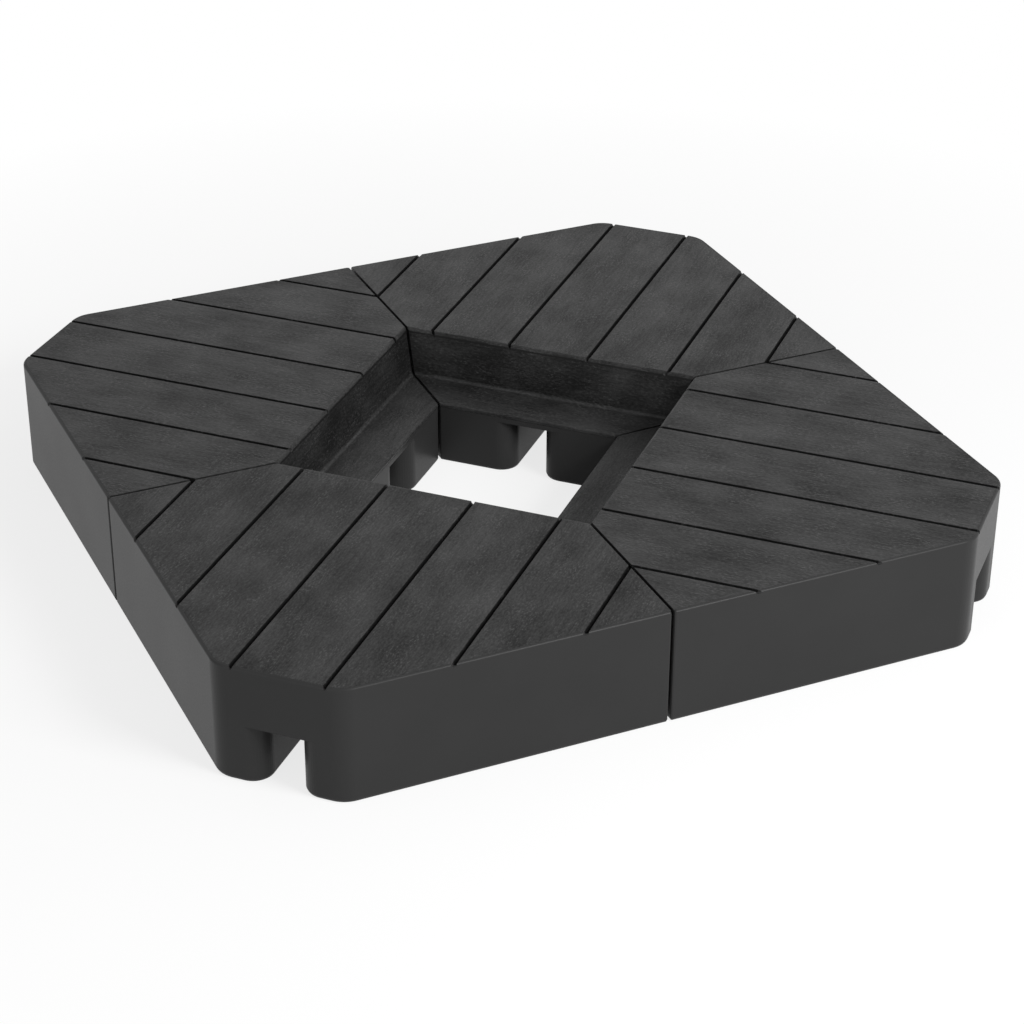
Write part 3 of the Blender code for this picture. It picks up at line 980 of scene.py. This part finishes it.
class PARASOLBASE_OT_seals(bpy.types.Operator):
    """Make the four rubber seals"""

    bl_idname = "parasol_base.seals"
    bl_label = "Seals"

    def execute(self, context):
        sizes = context.scene.parasol_plugs
        finish = rubber(context.scene.parasol_finishes)
        patches = at_plug(seal_patches(sizes), sizes)
        for side in QUARTER_TURNS:
            turned = [(turned_to(grid, side), pattern) for grid, pattern in patches]
            seal = skinned("plug_seal_" + side, turned)
            stand_for(seal, "cap_seal_" + side, "seal_" + side, finish)
        return {"FINISHED"}


class PARASOLBASE_OT_filling(bpy.types.Operator):
    """Give the filling inside the tanks its finish"""

    bl_idname = "parasol_base.filling"
    bl_label = "Filling"

    def execute(self, context):
        finish = water(context.scene.parasol_finishes)
        for side in QUARTER_TURNS:
            paint("ballast_" + side, finish)
        return {"FINISHED"}


class PARASOLBASE_OT_stage(bpy.types.Operator):
    """Set the camera, the pale floor and the soft light"""

    bl_idname = "parasol_base.stage"
    bl_label = "Stage"

    def execute(self, context):
        settings = context.scene.parasol_stage
        context.scene.view_settings.view_transform = "Standard"
        set_camera(settings)
        set_floor(settings)
        set_light(settings)
        return {"FINISHED"}


def set_camera(settings):
    """The camera looks from its place to its target, with a small roll."""
    lens = bpy.data.cameras.new("camera")
    lens.lens = settings.lens
    lens.sensor_width = SENSOR_WIDTH
    camera = bpy.data.objects.new("camera", lens)
    bpy.context.scene.collection.objects.link(camera)
    place = Vector(settings.place)
    sight = (Vector(settings.target) - place).to_track_quat("-Z", "Y").to_matrix()
    turn = sight @ Matrix.Rotation(settings.roll, 3, "Z")
    camera.matrix_world = Matrix.Translation(place) @ turn.to_4x4()
    bpy.context.scene.camera = camera


def seen_rays(tree):
    """1 where the camera, a mirror or glass looks, and 0 for light that spreads."""
    rays = tree.nodes.new("ShaderNodeLightPath").outputs
    seen = calculate(tree, "MAXIMUM", rays["Is Camera Ray"], rays["Is Glossy Ray"])
    return calculate(tree, "MAXIMUM", seen, rays["Is Transmission Ray"])


def set_floor(settings):
    """A flat pale floor, lifted towards white where it is seen or mirrored, with its shadow."""
    line = np.linspace(-FLOOR_REACH, FLOOR_REACH, FLOOR_POINTS)
    x, y = np.meshgrid(line, line)
    grid = np.stack([x, y, np.zeros_like(x)], axis=-1)
    floor = skinned("floor", [(grid, grid[..., :2])])
    made, tree, shader = new_material("pale floor")
    place = own_place(tree)
    drift = noise(tree, place, (0.8, 0.8, 0.8), detail=2.0, rough=0.5)
    dark = settings.floor
    light = [min(1.0, value + FLOOR_DRIFT) for value in dark]
    tree.links.new(tones(tree, drift, *WIDE_NOISE, dark, light), shader.inputs["Base Color"])
    shader.inputs["Roughness"].default_value = 1.0
    shader.inputs["Specular IOR Level"].default_value = 0.0
    white = add(tree, "ShaderNodeEmission", Color=(1.0, 1.0, 1.0, 1.0), Strength=1.0)
    mixed = tree.nodes.new("ShaderNodeMixShader")
    away = add(tree, "ShaderNodeVectorMath", Vector=place)
    away.operation = "LENGTH"
    away = away.outputs["Value"]
    fade = span(tree, away, settings.floor_near, settings.floor_far, settings.floor_glow, 1.0)
    glow = calculate(tree, "MULTIPLY", seen_rays(tree), fade)
    sources = (glow, shader.outputs["BSDF"], white.outputs["Emission"])
    for source, socket in zip(sources, mixed.inputs):
        tree.links.new(source, socket)
    tree.links.new(mixed.outputs["Shader"], tree.nodes["Material Output"].inputs["Surface"])
    floor.data.materials.append(made)


def soft_light(name, power, side, place):
    """A square soft light that looks at the middle of the base."""
    lamp = bpy.data.lights.new(name, "AREA")
    lamp.shape = "SQUARE"
    lamp.size = side
    lamp.energy = power
    light = bpy.data.objects.new(name, lamp)
    place = Vector(place)
    aim = (-place).to_track_quat("-Z", "Y").to_matrix().to_4x4()
    light.matrix_world = Matrix.Translation(place) @ aim
    bpy.context.scene.collection.objects.link(light)


def set_light(settings):
    """An even white surround, a large soft light from the right and a weak one from the front."""
    world = bpy.data.worlds.new("white surround")
    world.use_nodes = True
    bpy.context.scene.world = world
    tree = world.node_tree
    background = tree.nodes["Background"]
    background.inputs["Color"].default_value = (1.0, 1.0, 1.0, 1.0)
    strength = span(tree, seen_rays(tree), 0.0, 1.0, settings.sky, 1.0)
    tree.links.new(strength, background.inputs["Strength"])
    soft_light("softbox", settings.softbox, settings.softbox_side, settings.softbox_place)
    soft_light("fill", settings.fill, settings.fill_side, settings.fill_place)


OPERATORS = (
    PARASOLBASE_OT_tanks,
    PARASOLBASE_OT_covers,
    PARASOLBASE_OT_plugs,
    PARASOLBASE_OT_seals,
    PARASOLBASE_OT_filling,
    PARASOLBASE_OT_stage,
)


class PARASOLBASE_PT_sidebar(bpy.types.Panel):
    """Sizes, finishes and steps of the parasol base"""

    bl_idname = "PARASOLBASE_PT_sidebar"
    bl_label = "Parasol base"
    bl_space_type = "VIEW_3D"
    bl_region_type = "UI"
    bl_category = "Parasol base"

    def draw(self, context):
        for operator in OPERATORS:
            self.layout.operator(operator.bl_idname)
        for name in SETTINGS:
            group = getattr(context.scene, name)
            box = self.layout.box()
            # the first two properties of a group are Blender's own
            for setting in group.bl_rna.properties.keys()[2:]:
                box.prop(group, setting)


SETTINGS = {
    "parasol_covers": CoverSizes,
    "parasol_plugs": PlugSizes,
    "parasol_finishes": Finishes,
    "parasol_stage": StageSettings,
}
CLASSES = (*SETTINGS.values(), *OPERATORS, PARASOLBASE_PT_sidebar)


def register():
    """Make the settings, the steps and the panel known."""
    for each in CLASSES:
        bpy.utils.register_class(each)
    for name, group in SETTINGS.items():
        setattr(bpy.types.Scene, name, bpy.props.PointerProperty(type=group))


def unregister():
    """Take the settings, the steps and the panel away again."""
    for name in SETTINGS:
        delattr(bpy.types.Scene, name)
    for each in reversed(CLASSES):
        bpy.utils.unregister_class(each)


def main():
    """Dress the part and set the stage."""
    register()
    bpy.ops.parasol_base.tanks()
    bpy.ops.parasol_base.covers()
    bpy.ops.parasol_base.plugs()
    bpy.ops.parasol_base.seals()
    bpy.ops.parasol_base.filling()
    bpy.ops.parasol_base.stage()


if __name__ == "__main__":
    main()
